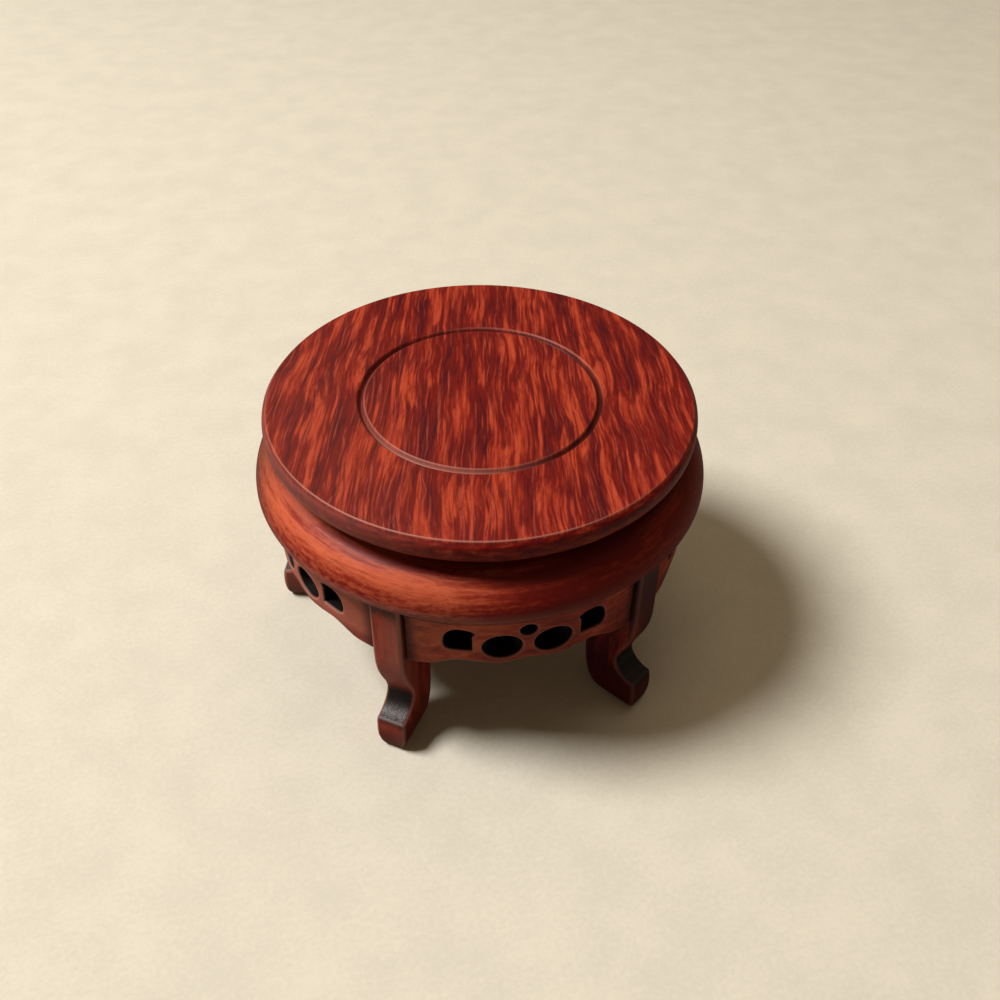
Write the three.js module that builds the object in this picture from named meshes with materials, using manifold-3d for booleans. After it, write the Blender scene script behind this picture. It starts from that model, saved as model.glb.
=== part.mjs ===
// Round display stand for a small bonsai pot: a turned rosewood board on a waist ring and a
// ring moulding, carried by five scroll-footed legs with a pierced apron between each pair.
// Millimetres, +Z up. The origin is on the floor, on the axis of the turned parts. One bay
// faces -Y, and the legs are numbered anticlockwise from the one at +Y.

import * as THREE from 'three';
import { mergeVertices } from 'three/addons/utils/BufferGeometryUtils.js';
import Module from 'manifold-3d';

// Counts
const legCount = 5;
const roundSteps = 60;
const apronSteps = 20;
const ellipseSteps = 14;

// Board
const boardRadius = 50;
const boardThickness = 5.5;
const boardEdgeRoll = 1.1;
const grooveRadius = 27.5;
const grooveWidth = 1.3;
const grooveDepth = 0.6;

// Waist ring, hidden in the shadow under the board
const waistSetback = 6;
const waistShow = 4.1;
const waistCove = 0.6;
const waistWall = 8;
const waistSeatDepth = 2;
const tongueWidth = 3;
const tongueHeight = 1.2;

// Ring moulding
const ringProud = 3.3;
const ringHeight = 11.3;
const ringUnderRise = 2.5;
const ringUnderInset = 3.1;

// Aprons
const apronSetback = 3.8;
const apronWall = 6.6;
const apronDepth = 15.6;
const apronBandHeight = 4.2;
const apronBandProud = 0.6;
const apronTongueWall = 2.2;
const apronTongueReach = 1.2;
const apronTongueShort = 3;

// Legs
const legHeight = 48.1;
const legWidth = 7.3;
const legDepth = 13.9;
const legProud = 1.6;
const legEdgeRound = 0.8;
const ankleHeight = 14.4;
const ankleInset = 4.5;
const toeReach = 1.7;
const toeHeight = 10;
const soleFront = 0.2;
const soleLength = 6.2;
const tenonWidth = 4.3;
const tenonLength = 7;
const tenonHeight = 7;

// Wood screws that hold the board down from below
const screwRadius = 1.4;
const screwHeadRadius = 2.8;
const screwHeadHeight = 1.8;
const screwPoint = 2;
const screwBite = 3;
const screwSlotWidth = 0.8;
const screwSlotDepth = 0.9;
const screwSunk = 1.5;

// Room left where pieces meet
const jointClearance = 0.3;

// Fretwork of one bay. across and wide are shares of half the clear bay, down and high are
// shares of the apron's depth.
const ovalHole = { across: 0.213, down: 0.665, wide: 0.325, high: 0.44 };
const endHole = { across: 0.573, down: 0.52, wide: 0.229, high: 0.4 };
const roundHole = { across: 0, down: 0.378, wide: 0.138, high: 0.2 };

// Lower edge of the apron from the middle of the bay to the leg, in the same shares
const lowerEdge = [
  [0, 0.936],
  [0.11, 0.974],
  [0.23, 1],
  [0.355, 0.98],
  [0.54, 0.933],
  [0.645, 0.968],
  [0.73, 1.03],
  [0.82, 1.085],
  [1, 1.12],
];

// Heights and radii that follow from the sizes above
const ringBottom = legHeight;
const ringTop = ringBottom + ringHeight;
const boardBottom = ringTop + waistShow;
const boardTop = boardBottom + boardThickness;
const waistRadius = boardRadius - waistSetback;
const boreRadius = waistRadius - waistWall;
const ringRadius = boardRadius + ringProud;
const apronRadius = ringRadius - apronSetback;
const legFront = apronRadius + legProud;
const legBack = legFront - legDepth;
const tenonMiddle = (legFront + legBack) / 2;
const tongueMiddle = (waistRadius + boreRadius) / 2;
const seatFloor = ringTop - waistSeatDepth;
const apronMiddle = apronRadius - apronWall / 2;
const halfBay = Math.PI / legCount;
const clearHalfBay = halfBay - Math.asin((legWidth / 2 + jointClearance) / apronRadius);
const farAway = 2 * ringRadius;

const wasm = await Module();
wasm.setup();

// A solid from a three.js geometry, with shared corners merged and empty triangles dropped
function solidOf(geometry) {
  const bare = geometry.clone();
  bare.deleteAttribute('normal');
  bare.deleteAttribute('uv');
  const merged = mergeVertices(bare, 1e-4);
  const index = merged.index.array;
  const kept = [];
  for (let i = 0; i < index.length; i += 3) {
    const [a, b, c] = [index[i], index[i + 1], index[i + 2]];
    if (a !== b && b !== c && c !== a) kept.push(a, b, c);
  }
  return new wasm.Manifold(new wasm.Mesh({
    numProp: 3,
    vertProperties: new Float32Array(merged.attributes.position.array),
    triVerts: new Uint32Array(kept),
  }));
}

function geometryOf(solid) {
  const mesh = solid.getMesh();
  const geometry = new THREE.BufferGeometry();
  geometry.setAttribute('position', new THREE.BufferAttribute(mesh.vertProperties, 3));
  geometry.setIndex(new THREE.BufferAttribute(mesh.triVerts, 1));
  const faceted = geometry.toNonIndexed();
  faceted.computeVertexNormals();
  return faceted;
}

// A turned solid from [radius, height] points that run up the outside
function turned(points, steps = roundSteps) {
  const profile = points.map(([radius, height]) => new THREE.Vector2(radius, height));
  return new THREE.LatheGeometry(profile, steps).rotateX(Math.PI / 2);
}

// A block from lowest to highest corner
function block(low, high) {
  const size = high.map((value, i) => value - low[i]);
  const middle = high.map((value, i) => (value + low[i]) / 2);
  return new THREE.BoxGeometry(...size).translate(...middle);
}

// Points of a quarter ellipse about a centre, from one angle to the other
function quarter(centre, wide, high, from, to, steps) {
  const points = [];
  for (let i = 0; i <= steps; i += 1) {
    const angle = from + ((to - from) * i) / steps;
    points.push([centre[0] + wide * Math.cos(angle), centre[1] + high * Math.sin(angle)]);
  }
  return points;
}

// Bays lie between the legs: bay 0 faces -Y
const legAzimuth = (i) => Math.PI / 2 + (2 * Math.PI * i) / legCount;
const bayAzimuth = (i) => -Math.PI / 2 + (2 * Math.PI * i) / legCount;
const screwCircle = tongueMiddle;

// The screw's own heights
const screwHeadBottom = ringBottom + screwSunk;
const screwTip = boardBottom + screwBite;

// Clearance hole of one screw through the ring, the waist and into the board
function screwHole() {
  const shank = screwRadius + jointClearance;
  const head = screwHeadRadius + jointClearance;
  const shoulder = screwHeadBottom + screwHeadHeight + jointClearance;
  return turned([
    [0, ringBottom - 1],
    [head, ringBottom - 1],
    [head, screwHeadBottom + jointClearance],
    [shank, shoulder],
    [shank, screwTip - screwPoint + jointClearance],
    [0, screwTip + jointClearance],
  ], 12).translate(screwCircle, 0, 0);
}

// Takes the screw holes out of a turned solid
function drilled(solid) {
  let result = solid;
  for (let i = 0; i < legCount; i += 1) {
    result = result.subtract(solidOf(screwHole().rotateZ(bayAzimuth(i))));
  }
  return result;
}

function boardSolid() {
  const bead = quarter(
    [boardRadius - boardEdgeRoll, boardBottom + boardThickness / 2],
    boardEdgeRoll, boardThickness / 2, -Math.PI / 2, Math.PI / 2, 6,
  );
  const slot = tongueWidth / 2 + jointClearance;
  const slotTop = boardBottom + tongueHeight + jointClearance;
  const half = grooveWidth / 2;
  const blank = turned([
    [0, boardBottom],
    [tongueMiddle - slot, boardBottom],
    [tongueMiddle - slot, slotTop],
    [tongueMiddle + slot, slotTop],
    [tongueMiddle + slot, boardBottom],
    ...bead,
    [grooveRadius + half, boardTop],
    [grooveRadius + half / 2, boardTop - grooveDepth],
    [grooveRadius - half / 2, boardTop - grooveDepth],
    [grooveRadius - half, boardTop],
    [0, boardTop],
  ]);
  return drilled(solidOf(blank));
}

function waistSolid() {
  const hollow = quarter(
    [waistRadius, (ringTop + boardBottom) / 2],
    waistCove, waistShow / 2, (3 * Math.PI) / 2, Math.PI / 2, 4,
  );
  const blank = turned([
    [boreRadius, seatFloor],
    [waistRadius, seatFloor],
    ...hollow,
    [tongueMiddle + tongueWidth / 2, boardBottom],
    [tongueMiddle + tongueWidth / 2, boardBottom + tongueHeight],
    [tongueMiddle - tongueWidth / 2, boardBottom + tongueHeight],
    [tongueMiddle - tongueWidth / 2, boardBottom],
    [boreRadius, boardBottom],
    [boreRadius, seatFloor],
  ]);
  return drilled(solidOf(blank));
}

// One leg tenon, grown all round by the given room
function tenon(room) {
  return block(
    [tenonMiddle - tenonLength / 2 - room, -tenonWidth / 2 - room, ringBottom - 1],
    [tenonMiddle + tenonLength / 2 + room, tenonWidth / 2 + room, ringBottom + tenonHeight + room],
  );
}

function ringSolid() {
  const widest = ringBottom + ringUnderRise;
  const seatRadius = waistRadius + jointClearance;
  const under = quarter(
    [ringRadius - ringUnderInset, widest], ringUnderInset, ringUnderRise, -Math.PI / 2, 0, 3,
  );
  const upper = quarter(
    [seatRadius, widest], ringRadius - seatRadius, ringTop - widest, 0, Math.PI / 2, 7,
  );
  const blank = turned([
    [boreRadius, ringBottom],
    ...under,
    ...upper.slice(1),
    [seatRadius, seatFloor],
    [boreRadius, seatFloor],
    [boreRadius, ringBottom],
  ]);
  let result = drilled(solidOf(blank));
  for (let i = 0; i < legCount; i += 1) {
    result = result.subtract(solidOf(tenon(jointClearance).rotateZ(legAzimuth(i))));
  }
  return result;
}

// A solid through closed sections with as many points each, capped at both ends
function loft(sections) {
  const count = sections[0].length;
  const positions = sections.flat().flatMap((point) => [point.x, point.y, point.z]);
  const index = [];
  for (let s = 0; s + 1 < sections.length; s += 1) {
    for (let i = 0; i < count; i += 1) {
      const a = s * count + i;
      const b = s * count + ((i + 1) % count);
      index.push(a, b + count, b, a, a + count, b + count);
    }
  }
  const outline = sections[0].map((point) => new THREE.Vector2(point.x, point.z));
  const last = (sections.length - 1) * count;
  for (const [a, b, c] of THREE.ShapeUtils.triangulateShape(outline, [])) {
    index.push(a, b, c, last + a, last + c, last + b);
  }
  const geometry = new THREE.BufferGeometry();
  geometry.setAttribute('position', new THREE.Float32BufferAttribute(positions, 3));
  geometry.setIndex(index);
  return geometry;
}

// Depth of the apron's lower edge below the ring, at a share of half the clear bay
const edgeCurve = new THREE.SplineCurve(lowerEdge.map(([x, y]) => new THREE.Vector2(x, y)));
const edgePoints = edgeCurve.getPoints(200);
function edgeDepth(share) {
  const wanted = Math.min(Math.abs(share), 1);
  const after = edgePoints.findIndex((point) => point.x >= wanted);
  if (after <= 0) return edgePoints[0].y * apronDepth;
  const [p, q] = [edgePoints[after - 1], edgePoints[after]];
  return apronDepth * (p.y + ((q.y - p.y) * (wanted - p.x)) / (q.x - p.x));
}

// A curved strip about the axis, from one leg's middle to the next, facing +X
function strip(sectionAt) {
  const sections = [];
  for (let i = 0; i <= apronSteps; i += 1) {
    const angle = halfBay * ((2 * i) / apronSteps - 1);
    sections.push(sectionAt(angle / clearHalfBay).map(([radius, height]) => (
      new THREE.Vector3(radius * Math.cos(angle), radius * Math.sin(angle), height)
    )));
  }
  return solidOf(loft(sections));
}

// What lies beyond a leg's side face, moved into the leg by the given reach
function beyondLeg(side, reach) {
  const face = legWidth / 2 + jointClearance - reach;
  const [low, high] = side > 0 ? [-face, farAway] : [-farAway, face];
  return solidOf(block([0, low, 0], [farAway, high, farAway]).rotateZ(side * halfBay));
}

function trimmed(solid, reach) {
  return solid.subtract(beyondLeg(1, reach)).subtract(beyondLeg(-1, reach));
}

// A hole's outline about its own centre, with +X away from the middle of the bay
function ellipseShape(wide, high) {
  const shape = new THREE.Shape();
  for (let i = 0; i < ellipseSteps; i += 1) {
    const angle = (2 * Math.PI * i) / ellipseSteps;
    const point = [(wide / 2) * Math.cos(angle), (high / 2) * Math.sin(angle)];
    if (i === 0) shape.moveTo(...point);
    else shape.lineTo(...point);
  }
  shape.closePath();
  return shape;
}

// The hole by the leg: square on its inner side, with a small spur there, and round outside
function endShape(wide, high) {
  const [x, y] = [wide / 2, high / 2];
  const shape = new THREE.Shape();
  shape.moveTo(-x, -y);
  shape.lineTo(0.35 * x, -y);
  shape.quadraticCurveTo(x, -y, x, -0.35 * y);
  shape.quadraticCurveTo(x, 0.8 * y, 0.1 * x, y);
  shape.quadraticCurveTo(-0.9 * x, y, -1.2 * x, 0.6 * y);
  shape.lineTo(-x, 0.35 * y);
  shape.closePath();
  return shape;
}

// A cutter square to the apron's face at the hole's own place
function holeCutter(hole, outline, side) {
  const halfArc = clearHalfBay * apronRadius;
  const shape = outline(hole.wide * halfArc, hole.high * apronDepth);
  const depth = 3 * apronWall;
  const geometry = new THREE.ExtrudeGeometry(shape, {
    depth, bevelEnabled: false, curveSegments: 4,
  });
  if (side < 0) geometry.rotateY(Math.PI).translate(0, 0, depth);
  const outward = new THREE.Matrix4().makeBasis(
    new THREE.Vector3(0, 1, 0), new THREE.Vector3(0, 0, 1), new THREE.Vector3(1, 0, 0),
  );
  geometry.applyMatrix4(outward);
  geometry.translate(apronMiddle - depth / 2, 0, ringBottom - hole.down * apronDepth);
  geometry.rotateZ(side * hole.across * clearHalfBay);
  return solidOf(geometry);
}

function apronSolid() {
  const bandBottom = ringBottom - apronBandHeight;
  const inner = apronRadius - apronWall;
  const body = strip((share) => [
    [inner, ringBottom],
    [inner, ringBottom - edgeDepth(share)],
    [apronRadius, ringBottom - edgeDepth(share)],
    [apronRadius, bandBottom - apronBandProud],
    [apronRadius + apronBandProud, bandBottom],
    [apronRadius + apronBandProud, ringBottom],
  ]);
  const [thin, thick] = [apronMiddle - apronTongueWall / 2, apronMiddle + apronTongueWall / 2];
  const foot = ringBottom - edgeDepth(1) + apronTongueShort;
  const tongue = strip(() => [
    [thin, ringBottom],
    [thin, foot],
    [thick, foot],
    [thick, ringBottom],
  ]);
  let result = trimmed(body, 0).add(trimmed(tongue, jointClearance + apronTongueReach));
  for (const side of [-1, 1]) {
    result = result.subtract(holeCutter(ovalHole, ellipseShape, side));
    result = result.subtract(holeCutter(endHole, endShape, side));
  }
  return result.subtract(holeCutter(roundHole, ellipseShape, 1));
}

// The leg seen from the side: x is the distance from the axis and y the height
function legShape() {
  const rise = legHeight - ankleHeight;
  const ankle = legFront - ankleInset;
  const toe = legFront + toeReach;
  const soleEnd = legFront + soleFront;
  const heel = soleEnd - soleLength;
  const above = legHeight + 2 * legEdgeRound;
  const shape = new THREE.Shape();
  shape.moveTo(legBack, above);
  shape.lineTo(legBack, ankleHeight);
  shape.bezierCurveTo(legBack, 0.55 * toeHeight, legBack + 0.35 * (heel - legBack), 0, heel, 0);
  shape.lineTo(soleEnd, 0);
  shape.bezierCurveTo(toe - 0.6, 0, toe, 0.28 * toeHeight, toe, 0.62 * toeHeight);
  shape.quadraticCurveTo(toe, 0.85 * toeHeight, toe - 0.9, toeHeight);
  shape.quadraticCurveTo(ankle + 2.6, toeHeight + 0.9, ankle, ankleHeight);
  shape.bezierCurveTo(
    ankle + 0.9, ankleHeight + 0.24 * rise, legFront, ankleHeight + 0.4 * rise,
    legFront, ankleHeight + 0.68 * rise,
  );
  shape.lineTo(legFront, above);
  shape.closePath();
  return shape;
}

// Slot in a leg's side that takes the apron's tongue from above
function tongueSlot(side) {
  const face = legWidth / 2;
  const inner = Math.sqrt((apronMiddle - apronTongueWall / 2) ** 2 - face ** 2) - jointClearance;
  const outer = apronMiddle + apronTongueWall / 2 + jointClearance;
  const floor = ringBottom - edgeDepth(1) + apronTongueShort - jointClearance;
  const reach = face - apronTongueReach - jointClearance;
  const [low, high] = side > 0 ? [reach, legWidth] : [-legWidth, -reach];
  return solidOf(block([inner, low, floor], [outer, high, ringBottom + 1]));
}

function legSolid() {
  const blank = new THREE.ExtrudeGeometry(legShape(), {
    depth: legWidth - 2 * legEdgeRound,
    bevelThickness: legEdgeRound,
    bevelSize: legEdgeRound,
    bevelOffset: -legEdgeRound,
    bevelSegments: 2,
    curveSegments: 7,
  }).rotateX(Math.PI / 2).translate(0, legWidth / 2 - legEdgeRound, 0);
  const top = solidOf(block([0, -legWidth, ringBottom], [farAway, legWidth, farAway]));
  return solidOf(blank)
    .subtract(top)
    .add(solidOf(tenon(0)))
    .subtract(tongueSlot(1))
    .subtract(tongueSlot(-1));
}

function screwSolid() {
  const blank = turned([
    [0, screwHeadBottom],
    [screwHeadRadius, screwHeadBottom],
    [screwRadius, screwHeadBottom + screwHeadHeight],
    [screwRadius, screwTip - screwPoint],
    [0, screwTip],
  ], 12);
  const slot = block(
    [-screwSlotWidth / 2, -2 * screwHeadRadius, screwHeadBottom - 1],
    [screwSlotWidth / 2, 2 * screwHeadRadius, screwHeadBottom + screwSlotDepth],
  );
  return solidOf(blank).subtract(solidOf(slot));
}

// Finishes
const figuredWood = () => new THREE.MeshStandardMaterial({ color: 0x7a2116, roughness: 0.35, metalness: 0 });
const turnedWood = () => new THREE.MeshStandardMaterial({ color: 0x8c2b1a, roughness: 0.38, metalness: 0 });
const carvedWood = () => new THREE.MeshStandardMaterial({ color: 0x6b2015, roughness: 0.42, metalness: 0 });
const steel = () => new THREE.MeshStandardMaterial({ color: 0x8f8b84, roughness: 0.4, metalness: 0.9 });

const stand = new THREE.Group();

function place(name, geometry, material, azimuth = 0) {
  const mesh = new THREE.Mesh(geometry, material);
  mesh.name = name;
  mesh.rotation.z = azimuth;
  stand.add(mesh);
  return mesh;
}

place('top_board', geometryOf(boardSolid()), figuredWood());
place('waist_ring', geometryOf(waistSolid()), turnedWood());
place('ring_moulding', geometryOf(ringSolid()), turnedWood());

const legGeometry = geometryOf(legSolid());
const apronGeometry = geometryOf(apronSolid());
const screwGeometry = geometryOf(screwSolid());
for (let i = 0; i < legCount; i += 1) {
  place(`leg_${i + 1}`, legGeometry, carvedWood(), legAzimuth(i));
  place(`apron_${i + 1}`, apronGeometry, turnedWood(), bayAzimuth(i));
  const screw = place(`board_screw_${i + 1}`, screwGeometry, steel(), bayAzimuth(i));
  screw.position.set(
    screwCircle * Math.cos(bayAzimuth(i)), screwCircle * Math.sin(bayAzimuth(i)), 0,
  );
}

export default stand;
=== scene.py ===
import math

import bmesh
import bpy
from mathutils import Matrix, Vector
from mathutils.geometry import tessellate_polygon


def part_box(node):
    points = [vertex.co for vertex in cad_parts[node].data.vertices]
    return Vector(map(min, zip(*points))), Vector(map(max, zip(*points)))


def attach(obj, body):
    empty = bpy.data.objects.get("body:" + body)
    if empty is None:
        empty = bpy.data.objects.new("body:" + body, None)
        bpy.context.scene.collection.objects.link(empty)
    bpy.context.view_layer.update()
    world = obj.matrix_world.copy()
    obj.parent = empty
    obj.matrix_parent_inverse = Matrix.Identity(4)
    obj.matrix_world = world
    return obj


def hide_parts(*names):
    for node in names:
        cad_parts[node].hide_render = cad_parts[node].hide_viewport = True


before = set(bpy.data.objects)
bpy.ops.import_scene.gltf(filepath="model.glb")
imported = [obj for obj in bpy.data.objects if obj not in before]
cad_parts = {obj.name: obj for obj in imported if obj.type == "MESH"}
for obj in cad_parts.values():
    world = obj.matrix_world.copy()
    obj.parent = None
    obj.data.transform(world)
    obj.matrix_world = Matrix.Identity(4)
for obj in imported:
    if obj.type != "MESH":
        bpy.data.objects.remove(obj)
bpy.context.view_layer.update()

# A round rosewood display stand. Lengths below are millimetres unless a name ends in _m.
# Shapes are made in millimetres about the stand's own axis and scaled to metres at the end.
# At each point a piece holds rim, pale from rubbing and painted highlight, and black, from stain and
# painted shade.
# A length under TINY counts as none.
MM = 0.001
TINY = 1e-4


def cad(node):
    """Lowest and highest corner of a CAD node, in millimetres."""
    low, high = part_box(node)
    return Vector(low) / MM, Vector(high) / MM


# Sizes read from the frame
board_low, board_high = cad("top_board")
ring_low, ring_high = cad("ring_moulding")
leg_low, leg_high = cad("leg_1")
screw_low, screw_high = cad("board_screw_1")
BOARD_RADIUS = board_high.x
BOARD_TOP = board_high.z
BOARD_BOTTOM = board_low.z
WAIST_RADIUS = cad("waist_ring")[1].x
RING_RADIUS = ring_high.x
RING_TOP = ring_high.z
RING_BOTTOM = ring_low.z
LEG_WIDTH = 2 * leg_high.x
LEG_BACK = leg_low.y
TOE = leg_high.y

# Sizes of the turned pieces
GROOVE_RADIUS = 27.5
GROOVE_WIDTH = 2.1
GROOVE_DEPTH = 1.0
EDGE_ROLL = 1.1
EDGE_ARRIS = 0.5
EDGE_LIP = 0.3
WAIST_COVE = 0.6
WAIST_WALL = 8
WAIST_SEAT = 2
SEAT_ROOM = 0.3
RING_UNDER_RISE = 2.5
RING_UNDER_INSET = 3.1
SINK_BEVEL = 0.2
SCREW_HEAD_HEIGHT = 1.8

# Sizes of the aprons
JOINT_ROOM = 0.3
LEG_GAP = 0.1
APRON_RADIUS = RING_RADIUS - 3.8
APRON_WALL = 6.6
APRON_DEPTH = 15.6
APRON_ROUND = 0.6
APRON_COLLAR = 0.2
BAND_HEIGHT = 3.3
BAND_PROUD = 0.45
BAND_FADE = 0.9
APRON_CUT_STEP = 0.9

# Sizes of the legs
LEG_FRONT = APRON_RADIUS + 1.6
LEG_ROUND = 0.9
LEG_COLLAR = 0.3
ANKLE_HEIGHT = 14.4
ANKLE_INSET = 4.5
TOE_HEIGHT = 10
SOLE_FRONT = 0.2
SOLE_LENGTH = 6.2
SOLE_ROUND = 5.2
SOLE_TAPER = 0.62

# How far the black of the toe reaches up the shin and down the front
SHIN_FADE = 4.5
TOE_FADE = 2.2

# Legs and bays go round the stand's axis
LEG_COUNT = 5
HALF_BAY = math.pi / LEG_COUNT
LEG_AZIMUTHS = [math.pi / 2 + 2 * math.pi * i / LEG_COUNT for i in range(LEG_COUNT)]
BAY_AZIMUTHS = [-math.pi / 2 + 2 * math.pi * i / LEG_COUNT for i in range(LEG_COUNT)]
CLEAR_HALF_BAY = HALF_BAY - math.asin((LEG_WIDTH / 2 + JOINT_ROOM) / APRON_RADIUS)

# Azimuths of the grain, of the lit side that colour is painted paler towards, and of the middle
# of each painted highlight, sheen, glint and painted shade; the one in front is also rubbed pale
GRAIN_AZIMUTH = math.radians(78)
LIT_SIDE = math.radians(-172)
HIGHLIGHT_SIDE = math.radians(-120)
RING_SHADE_SIDE = math.radians(130)
FRONT_WEAR_AND_HIGHLIGHT = math.radians(-105)
RIGHT_HIGHLIGHT = math.radians(35)
GROOVE_SHADE = math.radians(-40)
EDGE_HIGHLIGHT = math.radians(-125)
EDGE_SHEEN = math.radians(-25)
EDGE_GLINT = math.radians(-172)

# How far round to the right the pale rubbing and painted highlight in front reach
FRONT_PALE_REACH = math.radians(42)

# The camera stands where the photograph was taken from
CAMERA_AZIMUTH = math.radians(12)
CAMERA_OUT = 205.7
CAMERA_HEIGHT = 218.6
CAMERA_HEADING = math.radians(13.34)
CAMERA_PITCH = math.radians(41.5)
CAMERA_ROLL = math.radians(0.69)
CAMERA_LENS = 39.6
SENSOR_WIDTH = 36


# Camera

def make_camera():
    level = math.cos(CAMERA_PITCH)
    forward = Vector((
        math.sin(CAMERA_HEADING) * level, math.cos(CAMERA_HEADING) * level, -math.sin(CAMERA_PITCH),
    ))
    right = Vector((math.cos(CAMERA_HEADING), -math.sin(CAMERA_HEADING), 0))
    up = right.cross(forward)
    side = math.cos(CAMERA_ROLL) * right + math.sin(CAMERA_ROLL) * up
    top = math.cos(CAMERA_ROLL) * up - math.sin(CAMERA_ROLL) * right
    data = bpy.data.cameras.new("camera")
    data.lens = CAMERA_LENS
    data.sensor_width = SENSOR_WIDTH
    data.sensor_fit = "HORIZONTAL"
    data.clip_start = 10 * MM
    camera = bpy.data.objects.new("camera", data)
    bpy.context.scene.collection.objects.link(camera)
    place = Vector((
        -CAMERA_OUT * math.sin(CAMERA_AZIMUTH), -CAMERA_OUT * math.cos(CAMERA_AZIMUTH), CAMERA_HEIGHT,
    )) * MM
    turn = Matrix((side, top, -forward)).transposed().to_4x4()
    camera.matrix_world = Matrix.Translation(place) @ turn
    bpy.context.scene.camera = camera


# Node building

class Tree:
    """One material's nodes, with short calls for the kinds used here."""

    def __init__(self, name):
        self.material = bpy.data.materials.new(name)
        self.material.use_nodes = True
        self.nodes = self.material.node_tree.nodes
        self.links = self.material.node_tree.links
        self.shader = self.nodes["Principled BSDF"]

    def put(self, socket, value):
        if isinstance(value, bpy.types.NodeSocket):
            self.links.new(value, socket)
        else:
            socket.default_value = value

    def math(self, operation, a, b=0.0, c=None):
        node = self.nodes.new("ShaderNodeMath")
        node.operation = operation
        self.put(node.inputs[0], a)
        self.put(node.inputs[1], b)
        if c is not None:
            self.put(node.inputs[2], c)
        return node.outputs[0]

    def total(self, *parts):
        """The sum of some values, each times its weight."""
        value, weight = parts[0]
        whole = self.math("MULTIPLY", value, weight)
        for value, weight in parts[1:]:
            whole = self.math("MULTIPLY_ADD", value, weight, whole)
        return whole

    def vector(self, x, y, z):
        node = self.nodes.new("ShaderNodeCombineXYZ")
        for socket, value in zip(node.inputs, (x, y, z)):
            self.put(socket, value)
        return node.outputs[0]

    def place(self):
        """X, Y and Z in millimetres in the stand's own frame."""
        coordinates = self.nodes.new("ShaderNodeTexCoord")
        split = self.nodes.new("ShaderNodeSeparateXYZ")
        self.links.new(coordinates.outputs["Object"], split.inputs[0])
        return [self.math("MULTIPLY", split.outputs[i], 1 / MM) for i in range(3)]

    def toward(self, azimuth):
        """How far a point lies from the stand's axis towards an azimuth, in millimetres."""
        x, y = self.place()[:2]
        return self.total((y, math.sin(azimuth)), (x, math.cos(azimuth)))

    def facing_up(self):
        """1 where the surface faces straight up, and 0 where it is upright."""
        geometry = self.nodes.new("ShaderNodeNewGeometry")
        split = self.nodes.new("ShaderNodeSeparateXYZ")
        self.links.new(geometry.outputs["Normal"], split.inputs[0])
        return split.outputs[2]

    def attribute(self, name):
        node = self.nodes.new("ShaderNodeAttribute")
        node.attribute_name = name
        return node.outputs["Fac"]

    def noise(self, vector, scale=1.0, detail=2.0, roughness=0.5, fourth=None):
        node = self.nodes.new("ShaderNodeTexNoise")
        self.put(node.inputs["Vector"], vector)
        if fourth is not None:
            node.noise_dimensions = "4D"
            self.put(node.inputs["W"], fourth)
        node.inputs["Scale"].default_value = scale
        node.inputs["Detail"].default_value = detail
        node.inputs["Roughness"].default_value = roughness
        return node.outputs["Fac"]

    def span(self, value, low, high, to_low=0.0, to_high=1.0, smooth=True):
        """A value moved from one range to another, and kept inside it."""
        node = self.nodes.new("ShaderNodeMapRange")
        node.interpolation_type = "SMOOTHSTEP" if smooth else "LINEAR"
        self.put(node.inputs["Value"], value)
        node.inputs["From Min"].default_value = low
        node.inputs["From Max"].default_value = high
        node.inputs["To Min"].default_value = to_low
        node.inputs["To Max"].default_value = to_high
        return node.outputs[0]

    def ramp(self, value, stops):
        """Colours at positions from 0 to 1, blended evenly between them."""
        node = self.nodes.new("ShaderNodeValToRGB")
        self.put(node.inputs[0], value)
        elements = node.color_ramp.elements
        while len(elements) < len(stops):
            elements.new(0.5)
        for element, (position, colour) in zip(elements, stops):
            element.position = position
            element.color = (*colour, 1)
        return node.outputs[0]

    def mix(self, amount, a, b):
        node = self.nodes.new("ShaderNodeMix")
        node.data_type = "RGBA"
        node.clamp_factor = True
        self.put(node.inputs["Factor"], amount)
        for socket, value in zip((node.inputs[6], node.inputs[7]), (a, b)):
            self.put(socket, (*value, 1) if isinstance(value, tuple) else value)
        return node.outputs[2]

    def cover(self, colour, over, *amounts):
        """A colour covered with another, by the product of some amounts."""
        amount = amounts[0]
        for share in amounts[1:]:
            amount = self.math("MULTIPLY", amount, share)
        return self.mix(amount, colour, over)

    def bump(self, height, distance, strength):
        node = self.nodes.new("ShaderNodeBump")
        node.inputs["Strength"].default_value = strength
        node.inputs["Distance"].default_value = distance * MM
        self.put(node.inputs["Height"], height)
        self.links.new(node.outputs[0], self.shader.inputs["Normal"])


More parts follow.
